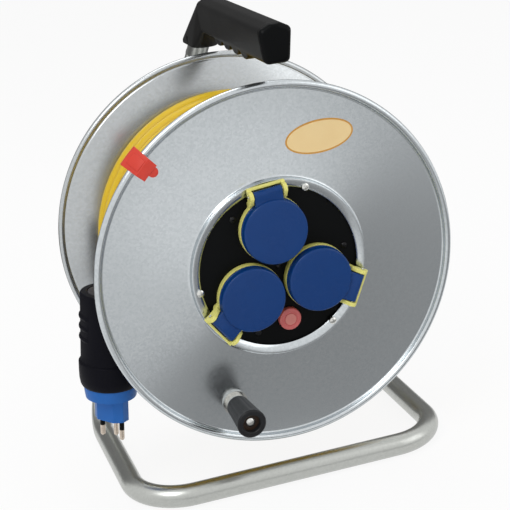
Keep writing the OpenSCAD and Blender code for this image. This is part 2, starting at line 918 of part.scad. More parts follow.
module terminal_block() {
    block = [18, 12, 20];
    color("white") on_drum() at_angle(socket_a - 60, 38)
        translate([-block[0] / 2, box_back - box_t - block[1], -block[2] / 2]) cube(block);
}

// Cable: a core of inner layers, the outer layer on it, and the lead into the box
module cable_core() {
    color("gold") on_drum() {
        difference() {
            pipe(core_r, core_in, sheet_back + core_gap, rear_in - core_gap);
            at_angle(crank_a, crank_r)
                rod(crank_nut_r + loose, sheet_back - past, sheet_back + crank_nut_h + crank_pin_over + loose);
        }
        rotate([0, -wind_start_a, 0]) translate([wind_r - rise_bend, wind_start_y, -cable_d])
            rotate([-90, 0, 0]) rotate_extrude(angle = 90) translate([rise_bend, 0]) circle(d = cable_d);
    }
}

module cable_winding() {
    points = [
        for (k = [0 : len(wind_line) - 1])
            each ring_at(wind_line[k], out_dir(wind_angles[k]), [0, 1, 0], cable_d / 2, wind_sides)
    ];
    color("gold") on_drum() ring_tube(points, len(wind_line), wind_sides, true);
}

module lead_place() {
    at_angle(lead_a, 0) translate([0, lead_y, 0]) children();
}

module cable_lead_in() {
    bend_out = lead_r + lead_bend;
    color("gold") on_drum() {
        at_angle(lead_a, lead_r) rod(cable_d / 2, lead_end, lead_y - lead_bend);
        lead_place() {
            translate([bend_out, 0, 0]) rotate([0, 90, 0])
                cylinder(d = cable_d, h = barrel_r - bend_out);
            translate([bend_out, -lead_bend, 0]) rotate([0, 0, 90])
                rotate_extrude(angle = 90) translate([lead_bend, 0]) circle(d = cable_d);
        }
    }
}

module cable_grommet() {
    lip = barrel_r - barrel_t - 1;
    color("black") on_drum() lead_place() rotate([0, 90, 0]) difference() {
        union() {
            cylinder(r = grommet_r, h = barrel_r - 0.5);
            cylinder(r = grommet_lip_r, h = lip);
        }
        translate([0, 0, -past]) cylinder(d = cable_d + 2 * hole_fit, h = barrel_r + 2 * past);
        translate([0, 0, -past]) cylinder(r = 2 * grommet_r, h = lip - grommet_lip_t + past);
    }
}

// Crank
module on_crank() {
    on_drum() at_angle(crank_a, crank_r) children();
}

module crank_pin() {
    seat = knob_front + knob_recess_l - 0.2;
    color("silver") on_crank()
        pan_screw(crank_pin_r, crank_head_r, crank_head_h, seat, sheet_back + crank_nut_h + crank_pin_over);
}

module crank_washer() {
    color("gainsboro") on_crank()
        pipe(knob_base_d / 2 + 1, crank_pin_r + run_fit, sheet_front - washer_t, sheet_front);
}

module crank_spacer() {
    spacer_back = sheet_front - washer_t;
    color("gainsboro") on_crank()
        pipe(knob_base_d / 2 - 1, crank_pin_r + run_fit, spacer_back - spacer_l, spacer_back);
}

module crank_nut() {
    color("gainsboro") on_crank()
        hex_nut(crank_nut_r, crank_pin_r + run_fit, sheet_back, sheet_back + crank_nut_h);
}

module crank_knob() {
    slant = atan2(knob_d / 2 - knob_base_d / 2, knob_l);
    color("black") on_crank() difference() {
        translate([0, knob_back, 0]) rotate([90, 0, 0])
            cylinder(r1 = knob_base_d / 2, r2 = knob_d / 2, h = knob_l);
        rod(crank_pin_r + run_fit, knob_front - past, knob_back + past);
        rod(knob_recess_r, knob_front - past, knob_front + knob_recess_l);
        for (i = [0 : knob_flutes - 1])
            rotate([0, 360 * i / knob_flutes, 0]) translate([knob_base_d / 2 + 1, knob_back - 3, 0])
                rotate([90, 0, 0]) rotate([0, slant, 0]) cylinder(r = flute_r, h = knob_l - 6);
    }
}

// Cable clip: a bent strip that snaps round the front rim
module clip_outline() {
    front = -bead_r - 2 * clip_wall + 0.7;
    top = bead_c + bead_r + clip_room + clip_wall + 2;
    back = bead_r + clip_room + clip_wall - 0.6;
    difference() {
        polygon([
            [bead_c - 8, front], [bead_c, front], [top, bead_r - 0.7], [top, back], [bead_c - 5, back],
            [bead_c - 5, bead_r + clip_room], [bead_c, bead_r + clip_room], [bead_c, 0],
            [bead_c - 4, front + clip_wall + 1.2], [bead_c - 8, front + clip_wall]
        ]);
        translate([bead_c, 0]) circle(r = bead_r + clip_room);
    }
}

module cable_clip() {
    front = -bead_r - 2 * clip_wall + 0.7;
    color("crimson") on_drum() {
        rotate([0, -clip_a - clip_angle / 2, 0]) rotate([-90, 0, 0])
            rotate_extrude(angle = clip_angle) clip_outline();
        at_angle(clip_a - clip_angle / 8, bead_c - 8) {
            translate([-1, 0, 0]) rod(clip_tab_r, front + 0.3, front + clip_wall - 0.5);
            translate([-1, front + 0.4, 0.2 - clip_tab_r]) cube([2, clip_wall - 1, 2 * clip_tab_r - 0.4]);
        }
    }
}

// Plug: its axis hangs from the tail and leans a little outwards
module on_plug() {
    translate(plug_top) rotate([0, plug_lean, 0]) children();
}

module sleeve_outline() {
    step = sleeve_l - collar_l;
    polygon([
        [0, 0], [sleeve_top_r - 1, 0], [sleeve_top_r, -1], [sleeve_top_r + sleeve_flare, -step],
        [sleeve_r - 0.6, -step - 1.5], [sleeve_r, -step - 4], [sleeve_r, -step - 15],
        [sleeve_r - 1.5, -sleeve_l + 2], [insert_r, -sleeve_l], [0, -sleeve_l]
    ]);
}

module plug_sleeve() {
    hollow_r = sleeve_top_r - sleeve_wall;
    hollow_l = sleeve_l - gland_l - sleeve_wall;
    taper = sleeve_flare / (sleeve_l - collar_l);
    color([0.08, 0.07, 0.11]) on_plug() {
        rotate_extrude() difference() {
            sleeve_outline();
            translate([-past, -gland_l]) square([gland_r + insert_room + past, gland_l + past]);
            translate([-past, -sleeve_l - past]) square([hollow_r + past, hollow_l + past]);
            translate([-past, -gland_l - 2 * sleeve_wall]) square([cable_d / 2 + past, 3 * sleeve_wall]);
        }
        for (i = [0 : rib_count - 1])
            let (z = -rib_first - i * rib_step)
                translate([0, 0, z]) rotate([0, 0, 180 - rib_arc / 2])
                    rotate_extrude(angle = rib_arc) intersection() {
                        translate([sleeve_top_r - z * taper - rib_sink, 0]) circle(r = rib_r, $fn = 24);
                        translate([sleeve_top_r - sleeve_wall / 2, -rib_step])
                            square([sleeve_r, 2 * rib_step]);
                    }
    }
}

module plug_gland() {
    color("dimgray") on_plug() rotate_extrude() translate([cable_d / 2 + insert_room, -gland_l])
        square([gland_r - cable_d / 2 - insert_room, gland_l]);
}

module plug_pair_places() {
    rotate([0, 0, pin_turn]) for (s = [-1, 1]) translate([s * pin_pitch / 2, 0, 0]) children();
}

module plug_earth_place() {
    rotate([0, 0, pin_turn]) translate([0, earth_off, 0]) children();
}

module block_outline() {
    polygon([
        [-block_w / 2, -block_end / 2], [-block_flat / 2, -block_d / 2],
        [block_flat / 2, -block_d / 2], [block_w / 2, -block_end / 2],
        [block_w / 2, block_end / 2], [block_flat / 2, block_d / 2],
        [-block_flat / 2, block_d / 2], [-block_w / 2, block_end / 2]
    ]);
}

module plug_insert() {
    base = -sleeve_l - insert_l;
    color("dodgerblue") on_plug() difference() {
        union() {
            translate([0, 0, base]) cylinder(r1 = insert_r - 1.5, r2 = insert_r, h = insert_l);
            translate([0, 0, -sleeve_l])
                cylinder(r = sleeve_top_r - sleeve_wall - insert_room, h = pin_root_l);
            translate([0, 0, base - block_l]) rotate([0, 0, pin_turn]) linear_extrude(block_l + past)
                block_outline();
        }
        translate([0, 0, base - block_l - past]) {
            root_cut_l = block_l + insert_l + pin_root_l + 2 * past;
            plug_pair_places() cylinder(d = pin_root_d + 2 * run_fit, h = root_cut_l);
            plug_earth_place() cylinder(d = pin_root_d + 2 * run_fit, h = root_cut_l);
            plug_pair_places() cylinder(d = collar_seat_d + 2 * run_fit, h = past + collar_seat_l);
        }
    }
}

// One pin: a round tip and full diameter up to a shoulder, then a thinner root
module plug_pin(shoulder) {
    round_z = plug_face + pin_d / 2 - pin_l;
    translate([0, 0, round_z]) {
        sphere(d = pin_d);
        cylinder(d = pin_d, h = shoulder - round_z);
    }
    translate([0, 0, shoulder - past]) cylinder(d = pin_root_d, h = pin_root_l - sleeve_l - shoulder + past);
}

module plug_pins() {
    color("lightgray") on_plug() {
        plug_pair_places() plug_pin(plug_face - pin_collar_l);
        plug_earth_place() plug_pin(plug_face);
    }
}

module plug_pin_collars() {
    whole_l = pin_collar_l + collar_seat_l - 0.1;
    color("black") on_plug() plug_pair_places() translate([0, 0, plug_face - pin_collar_l]) difference() {
        union() {
            cylinder(d = pin_d, h = pin_collar_l);
            cylinder(d = collar_seat_d, h = whole_l);
        }
        translate([0, 0, -past]) cylinder(d = pin_root_d + 2 * run_fit, h = whole_l + 2 * past);
    }
}

module cable_tail() {
    points = [
        for (i = [0 : tail_steps])
            let (along = tail_dir(i / tail_steps), across = unit(cross([0, 1, 0], along)))
                each ring_at(tail_at(i / tail_steps), across, cross(along, across), cable_d / 2, tail_sides)
    ];
    color("gold") ring_tube(points, tail_steps + 1, tail_sides, false);
}

frame_tube();
bearing_plate();
axle();
axle_washers();
axle_nuts();
handle();
handle_end_cap();
handle_screw();
front_flange();
rear_flange();
barrel();
hub_sleeve();
hub_rivets();
barrel_rivets();
mounting_ring();
socket_plate();
socket_box();
ring_screws();
plate_screws();
centre_screw();
socket_body_1();
socket_body_2();
socket_body_3();
socket_insert_1();
socket_insert_2();
socket_insert_3();
socket_contacts();
collar_1();
collar_2();
collar_3();
lid_1();
lid_2();
lid_3();
lid_pins();
lid_springs();
thermal_cutout();
reset_button();
terminal_block();
cable_core();
cable_winding();
cable_lead_in();
cable_grommet();
crank_pin();
crank_washer();
crank_spacer();
crank_nut();
crank_knob();
cable_clip();
plug_sleeve();
plug_gland();
plug_insert();
plug_pins();
plug_pin_collars();
cable_tail();
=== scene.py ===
import math

import bmesh
import bpy
from mathutils import Matrix, Vector


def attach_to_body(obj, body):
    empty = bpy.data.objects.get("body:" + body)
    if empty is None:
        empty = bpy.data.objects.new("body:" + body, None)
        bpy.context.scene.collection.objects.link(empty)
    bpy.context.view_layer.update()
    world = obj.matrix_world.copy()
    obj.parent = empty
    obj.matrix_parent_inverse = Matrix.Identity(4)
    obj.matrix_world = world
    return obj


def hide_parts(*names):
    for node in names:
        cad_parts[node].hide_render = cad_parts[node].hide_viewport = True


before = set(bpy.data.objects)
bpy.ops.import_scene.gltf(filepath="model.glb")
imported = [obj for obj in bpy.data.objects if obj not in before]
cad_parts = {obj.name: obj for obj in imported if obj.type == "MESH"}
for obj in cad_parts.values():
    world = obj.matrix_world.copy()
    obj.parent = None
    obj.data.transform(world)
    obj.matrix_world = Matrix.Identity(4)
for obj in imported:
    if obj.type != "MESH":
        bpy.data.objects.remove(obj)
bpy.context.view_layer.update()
mm = 0.001
tiny = 1e-6
print("frame loaded:", len(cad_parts), "nodes")

# where the drum turns: its axis runs along Y, angles count from the right, depths from the front rim
drum = {"axisHeight": 182, "frontY": -74, "flangeRadius": 145, "sheetFront": 3.0, "sheetBack": 4.2,
        "rearInside": 139.2, "third": 120}


def drumFrame(angle, radius):
    a = math.radians(angle)
    turn = Matrix(((math.cos(a), 0, -math.sin(a)), (0, 1, 0), (math.sin(a), 0, math.cos(a)))).to_4x4()
    centre = Matrix.Translation(Vector((0, drum["frontY"], drum["axisHeight"])) * mm)
    return centre @ turn @ Matrix.Translation((radius * mm, 0, 0)) @ Matrix.Scale(mm, 4)


# meshes are drawn in millimetres and then put in place
def addPiece(name, bm, place, material, sharp=35):
    bm.transform(place)
    bmesh.ops.recalc_face_normals(bm, faces=bm.faces)
    mesh = bpy.data.meshes.new(name)
    bm.to_mesh(mesh)
    bm.free()
    piece = bpy.data.objects.new(name, mesh)
    bpy.context.collection.objects.link(piece)
    piece.data.materials.append(material)
    return smoothBy(piece, sharp)


def smoothBy(piece, sharp=35):
    piece.data.shade_smooth()
    piece.data.set_sharp_from_angle(angle=math.radians(sharp))
    return piece


def attach(piece, body, slot, *nodes):
    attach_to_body(piece, body)
    if nodes:
        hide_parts(*nodes)
    return piece


# a profile of (radius, depth) points turned about Y; a wave, if any, adds to the radius
def lathe(bm, profile, steps, wave=None):
    rings = []
    for r, y in profile:
        if r < tiny:
            rings.append([bm.verts.new((0, y, 0))])
            continue
        ring = []
        for k in range(steps):
            a = 2 * math.pi * k / steps
            rr = r + (wave(a, r, y) if wave else 0)
            ring.append(bm.verts.new((rr * math.cos(a), y, rr * math.sin(a))))
        rings.append(ring)
    for one, two in zip(rings, rings[1:]):
        for k in range(steps):
            n = (k + 1) % steps
            if len(one) == 1:
                bm.faces.new((one[0], two[n], two[k]))
            elif len(two) == 1:
                bm.faces.new((one[k], one[n], two[0]))
            else:
                bm.faces.new((one[k], one[n], two[n], two[k]))


def latheRing(bm, inner, outer, low, high, steps):
    lathe(bm, [(inner, low), (outer, low), (outer, high), (inner, high), (inner, low)], steps)


def arcPoints(cx, cy, r, start, end, steps):
    angles = [math.radians(start + (end - start) * i / steps) for i in range(steps + 1)]
    return [(cx + r * math.cos(a), cy + r * math.sin(a)) for a in angles]


def shifted(points, x, y):
    return [(x + dx, y + dy) for dx, dy in points]


def sweep(bm, path, radius, sides):
    sideways = Vector((0, 1, 0))
    rings = []
    for i, p in enumerate(path):
        ahead = (path[min(i + 1, len(path) - 1)] - path[max(i - 1, 0)]).normalized()
        u = sideways.cross(ahead).normalized()
        v = ahead.cross(u)
        rings.append([bm.verts.new(p + radius * (math.cos(t) * u + math.sin(t) * v))
                      for t in (2 * math.pi * k / sides for k in range(sides))])
    for one, two in zip(rings, rings[1:]):
        for k in range(sides):
            n = (k + 1) % sides
            bm.faces.new((one[k], one[n], two[n], two[k]))
    bm.faces.new(rings[0][::-1])
    bm.faces.new(rings[-1])


def prism(bm, outline, low, high):
    bottom = [bm.verts.new((x, y, low)) for x, y in outline]
    top = [bm.verts.new((x, y, high)) for x, y in outline]
    n = len(outline)
    bm.faces.new(bottom[::-1])
    bm.faces.new(top)
    for k in range(n):
        bm.faces.new((bottom[k], bottom[(k + 1) % n], top[(k + 1) % n], top[k]))


def addModifier(piece, kind, **values):
    modifier = piece.modifiers.new(kind.lower(), kind)
    for key, value in values.items():
        setattr(modifier, key, value)


def applyAll(piece):
    graph = bpy.context.evaluated_depsgraph_get()
    mesh = bpy.data.meshes.new_from_object(piece.evaluated_get(graph))
    piece.modifiers.clear()
    piece.data = mesh
    return piece


def joinSolid(piece, other, operation="UNION"):
    addModifier(piece, "BOOLEAN", object=other, operation=operation, solver="EXACT")
    applyAll(piece)
    bpy.data.objects.remove(other)
    return piece


def copyMesh(nodeName):
    bm = bmesh.new()
    bm.from_mesh(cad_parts[nodeName].data)
    bm.transform(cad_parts[nodeName].matrix_world)
    bmesh.ops.remove_doubles(bm, verts=bm.verts, dist=tiny)
    return bm


# a moulded copy of a CAD node: flats joined up, then every sharp edge rounded
def roundedCopy(name, nodeName, material, width, segments=3, angle=32, flat=0.6):
    bm = copyMesh(nodeName)
    bmesh.ops.dissolve_limit(bm, angle_limit=math.radians(flat), verts=bm.verts, edges=bm.edges)
    piece = addPiece(name, bm, Matrix.Identity(4), material)
    addModifier(piece, "BEVEL", width=width * mm, segments=segments, limit_method="ANGLE",
                angle_limit=math.radians(angle), use_clamp_overlap=True)
    return smoothBy(applyAll(piece))


# the faces round a piece's middle, down to a depth, take a second material
def paintMiddle(piece, place, material, radius, depth):
    piece.data.materials.append(material)
    for face in piece.data.polygons:
        away = face.center - place.translation
        if math.hypot(away.x, away.z) < radius * mm and away.y < depth * mm:
            face.material_index = 1


def dressNode(nodeName, material):
    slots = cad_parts[nodeName].data.materials
    slots.clear()
    slots.append(material)


# shared shader effects
def newGroup(name, inputs):
    group = bpy.data.node_groups.new(name, "ShaderNodeTree")
    for label, value in inputs.items():
        kind = "NodeSocketColor" if isinstance(value, tuple) else "NodeSocketFloat"
        socket = group.interface.new_socket(name=label, in_out="INPUT", socket_type=kind)
        socket.default_value = value
    for label, kind in (("Color", "NodeSocketColor"), ("Roughness", "NodeSocketFloat"),
                        ("Height", "NodeSocketFloat")):
        group.interface.new_socket(name=label, in_out="OUTPUT", socket_type=kind)
    entry = group.nodes.new("NodeGroupInput")
    leave = group.nodes.new("NodeGroupOutput")
    return group, entry.outputs, leave.inputs


def addNode(tree, kind, **values):
    node = tree.nodes.new(kind)
    for key, value in values.items():
        if key in node.inputs.keys():
            node.inputs[key].default_value = value
        else:
            setattr(node, key, value)
    return node


def feed(tree, socket, value):
    if isinstance(value, (int, float, tuple)):
        socket.default_value = value
    else:
        tree.links.new(value, socket)


def mathNode(tree, operation, a, b):
    node = addNode(tree, "ShaderNodeMath", operation=operation)
    feed(tree, node.inputs[0], a)
    feed(tree, node.inputs[1], b)
    return node.outputs[0]


mixSockets = {"factor": 0, "a": 6, "b": 7, "result": 2}   # the colour sockets of a mix node


def mixColour(tree, **values):
    node = addNode(tree, "ShaderNodeMix", data_type="RGBA")
    for key, value in values.items():
        feed(tree, node.inputs[mixSockets[key]], value)
    return node.outputs[mixSockets["result"]]


def spread(tree, value, low, high):
    node = addNode(tree, "ShaderNodeMapRange")
    for key, given in (("Value", value), ("To Min", low), ("To Max", high)):
        feed(tree, node.inputs[key], given)
    return node.outputs["Result"]


def addTexture(tree, kind, where, scale, **values):
    node = addNode(tree, kind, **values)
    tree.links.new(where, node.inputs["Vector"])
    tree.links.new(scale, node.inputs["Scale"])
    return node


def blendTones(tree, one, oneShare, two, twoShare):
    return mathNode(tree, "ADD", mathNode(tree, "MULTIPLY", one, oneShare),
                    mathNode(tree, "MULTIPLY", two, twoShare))


# zinc: small crystals over a slow cloud; moulded skin: fine grain over slow patches
spangleTexture = {"crystalShare": 0.55, "cloudShare": 0.45, "detail": 4, "roughness": 0.62}
skinTexture = {"grainShare": 0.35, "patchShare": 0.65, "detail": 3, "grainRoughness": 0.6,
               "patchRoughness": 0.55}


def makeSpangle():
    t = spangleTexture
    group, given, out = newGroup("zincSpangle", {
        "Light": (1, 1, 1, 1), "Dark": (0.5, 0.5, 0.5, 1), "Crystal": 500, "Cloud": 14,
        "Smooth": 0.25, "Dull": 0.4})
    where = addNode(group, "ShaderNodeTexCoord").outputs["Object"]
    crystal = addTexture(group, "ShaderNodeTexVoronoi", where, given["Crystal"], feature="F1")
    cloud = addTexture(group, "ShaderNodeTexNoise", where, given["Cloud"],
                       Detail=t["detail"], Roughness=t["roughness"])
    facet = addNode(group, "ShaderNodeSeparateColor")
    group.links.new(crystal.outputs["Color"], facet.inputs[0])
    tone = blendTones(group, facet.outputs[0], t["crystalShare"], cloud.outputs[0], t["cloudShare"])
    group.links.new(mixColour(group, factor=tone, a=given["Dark"], b=given["Light"]), out["Color"])
    group.links.new(spread(group, tone, given["Dull"], given["Smooth"]), out["Roughness"])
    group.links.new(tone, out["Height"])
    return group


def makeSkin():
    t = skinTexture
    group, given, out = newGroup("mouldedSkin", {
        "Color": (0.5, 0.5, 0.5, 1), "Shade": (0.4, 0.4, 0.4, 1), "Grain": 900, "Patch": 30,
        "Gloss": 0.3, "Matt": 0.5})
    where = addNode(group, "ShaderNodeTexCoord").outputs["Object"]
    grain = addTexture(group, "ShaderNodeTexNoise", where, given["Grain"],
                       Detail=t["detail"], Roughness=t["grainRoughness"])
    patch = addTexture(group, "ShaderNodeTexNoise", where, given["Patch"],
                       Detail=t["detail"], Roughness=t["patchRoughness"])
    tone = blendTones(group, grain.outputs[0], t["grainShare"], patch.outputs[0], t["patchShare"])
    group.links.new(mixColour(group, factor=tone, a=given["Color"], b=given["Shade"]), out["Color"])
    group.links.new(spread(group, tone, given["Gloss"], given["Matt"]), out["Roughness"])
    group.links.new(grain.outputs[0], out["Height"])
    return group


spangle = makeSpangle()
skin = makeSkin()


# 0 to 255 values, as a screen shows them, to linear light
def linear(r, g, b):
    def one(v):
        v /= 255
        return v / 12.92 if v <= 0.04045 else ((v + 0.055) / 1.055) ** 2.4
    return (one(r), one(g), one(b), 1)


def newFinish(name, group, values, bump, metallic=0.0, reach=0.0002, coat=0.0, specular=0.5):
    material = bpy.data.materials.new(name)
    material.use_nodes = True
    tree = material.node_tree
    shader = tree.nodes["Principled BSDF"]
    shader.inputs["Metallic"].default_value = metallic
    shader.inputs["Coat Weight"].default_value = coat
    shader.inputs["Specular IOR Level"].default_value = specular
    effect = addNode(tree, "ShaderNodeGroup", node_tree=group)
    for key, value in values.items():
        effect.inputs[key].default_value = value
    tree.links.new(effect.outputs["Color"], shader.inputs["Base Color"])
    tree.links.new(effect.outputs["Roughness"], shader.inputs["Roughness"])
    relief = addNode(tree, "ShaderNodeBump", Strength=bump, Distance=reach)
    tree.links.new(effect.outputs["Height"], relief.inputs["Height"])
    tree.links.new(relief.outputs["Normal"], shader.inputs["Normal"])
    return material


def plastic(name, colour, shade, gloss, matt, grain, patch, bump, coat=0.0, specular=0.3):
    values = {"Color": linear(*colour), "Shade": linear(*shade), "Gloss": gloss, "Matt": matt,
              "Grain": grain, "Patch": patch}
    return newFinish(name, skin, values, bump, coat=coat, specular=specular)


def zinc(name, light, dark, smooth, dull, crystal, cloud, bump, metallic=1.0):
    values = {"Light": linear(*light), "Dark": linear(*dark), "Smooth": smooth, "Dull": dull,
              "Crystal": crystal, "Cloud": cloud}
    return newFinish(name, spangle, values, bump, metallic=metallic)


# two tones, two roughnesses, two texture scales and the bump, in the order of zinc and plastic above
finish = {
    "sheet": zinc("galvanisedSheet", (206, 211, 214), (190, 196, 199), 0.17, 0.27, 620, 16, 0.01),
    # the rear flange's inside: the front's galvanised sheet in darker tones and a little less metal, painted
    # shade
    "shadedRearSheet": zinc("galvanisedInsideShaded", (192, 196, 198), (180, 184, 186), 0.20, 0.28, 620, 9, 0.008,
                      metallic=0.9),
    "tube": zinc("galvanisedTube", (188, 190, 186), (177, 179, 175), 0.27, 0.34, 620, 14, 0.004),
    "bright": zinc("zincPlatedSteel", (224, 224, 220), (196, 197, 194), 0.14, 0.26, 900, 40, 0.01),
    "dark": zinc("blackenedSteel", (52, 52, 53), (24, 24, 25), 0.30, 0.45, 900, 60, 0.02),
    "nickel": zinc("nickelledBrass", (214, 202, 188), (184, 170, 156), 0.16, 0.26, 900, 60, 0.01),
    "brass": zinc("contactBrass", (214, 178, 96), (176, 140, 70), 0.22, 0.34, 900, 60, 0.01),
    "sheath": plastic("yellowSheath", (228, 194, 46), (214, 178, 36), 0.32, 0.46, 700, 26, 0.04),
    "lid": plastic("blueLid", (8, 59, 121), (5, 51, 110), 0.22, 0.32, 1400, 45, 0.02, specular=0.25),
    "collar": plastic("paleYellowCollar", (232, 227, 132), (222, 216, 118), 0.34, 0.48, 1200, 40, 0.04),
    "plate": plastic("blackPlate", (9, 11, 12), (6, 7, 8), 0.30, 0.44, 1600, 40, 0.05, specular=0.08),
    "handle": plastic("blackHandle", (18, 18, 18), (13, 13, 13), 0.34, 0.46, 1900, 40, 0.04, specular=0.14),
    "cap": plastic("blackCap", (7, 9, 10), (5, 6, 7), 0.24, 0.34, 1900, 40, 0.02, specular=0.07),
    "knob": plastic("blackKnob", (36, 37, 39), (24, 25, 27), 0.30, 0.46, 1500, 60, 0.06, specular=0.22),
    "grey": plastic("greyMoulding", (72, 72, 74), (60, 60, 62), 0.42, 0.56, 1200, 40, 0.06),
    "ivory": plastic("ivoryMoulding", (214, 212, 202), (202, 199, 188), 0.38, 0.5, 1200, 40, 0.05),
    "clip": plastic("redClip", (214, 66, 50), (198, 54, 42), 0.36, 0.5, 1300, 60, 0.05),
    "button": plastic("pinkButton", (205, 108, 104), (184, 84, 84), 0.22, 0.34, 900, 200, 0.02, coat=0.4),
    "buttonCore": plastic("pinkButtonCore", (206, 132, 122), (190, 110, 104), 0.26, 0.36, 900, 200, 0.02),
    "rubber": plastic("blackRubber", (15, 15, 23), (11, 11, 17), 0.44, 0.56, 1700, 35, 0.05, specular=0.06),
    "gland": plastic("greyGland", (62, 60, 64), (50, 49, 53), 0.5, 0.62, 1700, 60, 0.1, specular=0.15),
    "insert": plastic("blueInsert", (34, 104, 184), (28, 92, 168), 0.36, 0.5, 1300, 45, 0.05, specular=0.2),
    "bush": plastic("brownBush", (70, 50, 34), (44, 32, 24), 0.4, 0.55, 1200, 200, 0.05),
    "labelPaper": plastic("labelPaper", (240, 214, 160), (232, 200, 142), 0.4, 0.5, 1500, 60, 0.02),
    "labelEdge": plastic("labelEdge", (206, 150, 66), (196, 138, 56), 0.4, 0.5, 1500, 60, 0.02),
}
print("finishes made:", len(finish))

# camera, matched to the photograph's view
view = {"at": (-301.0, -1025.2, 542.0), "right": (0.9452, -0.3136, -0.0912), "up": (0.1859, 0.2870, 0.9397),
        "lens": 97.41, "sensor": 36.0, "near": 0.05}


def makeCamera():
    camera = bpy.data.objects.new("camera", bpy.data.cameras.new("camera"))
    bpy.context.collection.objects.link(camera)
    right = Vector(view["right"]).normalized()
    back = right.cross(Vector(view["up"])).normalized()
    up = back.cross(right)
    turn = Matrix((right, up, back)).transposed().to_4x4()
    camera.matrix_world = Matrix.Translation(Vector(view["at"]) * mm) @ turn
    camera.data.sensor_width = view["sensor"]
    camera.data.lens = view["lens"]
    camera.data.clip_start = view["near"]
    bpy.context.scene.camera = camera


makeCamera()
print("camera set")

# cable: the free tail, the outer layer on the drum and the layer under it, with a plain backing
cable = {
    "diameter": 11, "layerRadius": 110, "pitch": 16, "endAngle": 180 - math.degrees(math.atan2(4, 3)),
    "endDepth": 61, "startDepth": 133.2, "riseRadius": 50, "riseAngle": 60, "riseSteps": 10,
    "underRadius": 97.7, "underPitch": 11.3, "underFront": 10.6, "underRear": 122.0, "underAngle": 250,
    "leadTurns": 0.12, "leadSink": 4, "backingRadius": 94, "backingInner": 72.6, "backingGap": 0.6,
    "backingSteps": 96, "ringsPerTurn": 72, "sides": 18,
}
tailEnds = {"from": (-78, -13, 261), "fromDir": (-0.8, 0, -0.6), "to": (-128, -36, 177), "lean": 5.5,
            "reach": 40, "steps": 16, "fineness": 6}


def makeTailRoute():
    lean = math.radians(tailEnds["lean"])
    a, d = Vector(tailEnds["from"]), Vector(tailEnds["to"])
    b = a + tailEnds["reach"] * Vector(tailEnds["fromDir"])
    c = d + tailEnds["reach"] * Vector((math.sin(lean), 0, math.cos(lean)))
    route = []
    for k in range(tailEnds["steps"] + 1):
        t = k / tailEnds["steps"]
        route.append((1 - t) ** 3 * a + 3 * t * (1 - t) ** 2 * b + 3 * t * t * (1 - t) * c + t ** 3 * d)
    return route


tailRoute = makeTailRoute()


def makeTail():
    curve = bpy.data.curves.new("cableTail", "CURVE")
    curve.dimensions = "3D"
    curve.bevel_depth = cable["diameter"] / 2 * mm
    curve.bevel_resolution = curve.resolution_u = tailEnds["fineness"]
    line = curve.splines.new("BEZIER")
    line.bezier_points.add(len(tailRoute) - 1)
    for point, place in zip(line.bezier_points, tailRoute):
        point.co = place * mm
        point.handle_left_type = point.handle_right_type = "AUTO"
    curve.use_fill_caps = True
    tail = bpy.data.objects.new("cableTail", curve)
    bpy.context.collection.objects.link(tail)
    tail.data.materials.append(finish["sheath"])
    return attach(tail, "stand", "yellow_sheath", "cable_tail")


def onHelix(radius, angle, depth):
    a = math.radians(angle)
    return Vector((radius * math.cos(a), depth, radius * math.sin(a)))


# a layer's middle line; with a sink, its first few degrees come up from below
def windTurns(turns, radius, angle, way, depth, endDepth, sink=0):
    count = int(turns * cable["ringsPerTurn"])
    path = []
    for k in range(count + 1):
        share = k / count
        lead = min(1, share * turns / cable["leadTurns"])
        path.append(onHelix(radius - sink * (1 - lead) ** 2, angle + way * 360 * turns * share,
                            depth + (endDepth - depth) * share))
    return path


def makeOuterLayer():
    turns = (cable["startDepth"] - cable["endDepth"]) / cable["pitch"]
    drumCentre = Vector((0, drum["frontY"], drum["axisHeight"]))
    path = [tailRoute[0] - drumCentre]
    path += windTurns(turns, cable["layerRadius"], cable["endAngle"], -1, cable["endDepth"],
                      cable["startDepth"])
    startAngle = cable["endAngle"] - 360 * turns
    outward = onHelix(1, startAngle, 0)
    onward = -onHelix(1, startAngle + 90, 0)
    last = path[-1] + onward * cable["diameter"]
    centre = last - outward * cable["riseRadius"]
    for k in range(cable["riseSteps"] + 1):   # the rise out of the layers beneath
        a = math.radians(cable["riseAngle"] * k / cable["riseSteps"])
        path.append(centre + cable["riseRadius"] * (math.cos(a) * outward + math.sin(a) * onward))
    bm = bmesh.new()
    sweep(bm, path, cable["diameter"] / 2, cable["sides"])
    layer = addPiece("cableOuterLayer", bm, drumFrame(0, 0), finish["sheath"])
    attach(layer, "drum", "yellow_sheath", "cable_winding")


def makeUnderLayer():
    turns = (cable["underRear"] - cable["underFront"]) / cable["underPitch"]
    path = windTurns(turns, cable["underRadius"], cable["underAngle"], 1, cable["underFront"],
                     cable["underRear"], cable["leadSink"])
    bm = bmesh.new()
    sweep(bm, path, cable["diameter"] / 2, cable["sides"])
    latheRing(bm, cable["backingInner"], cable["backingRadius"], drum["sheetBack"] + cable["backingGap"],
              drum["rearInside"] - cable["backingGap"], cable["backingSteps"])
    layer = addPiece("cableUnderLayer", bm, drumFrame(0, 0), finish["sheath"])
    attach(layer, "drum", "yellow_sheath", "cable_core")


tail = makeTail()
makeOuterLayer()
makeUnderLayer()
print("cable made")

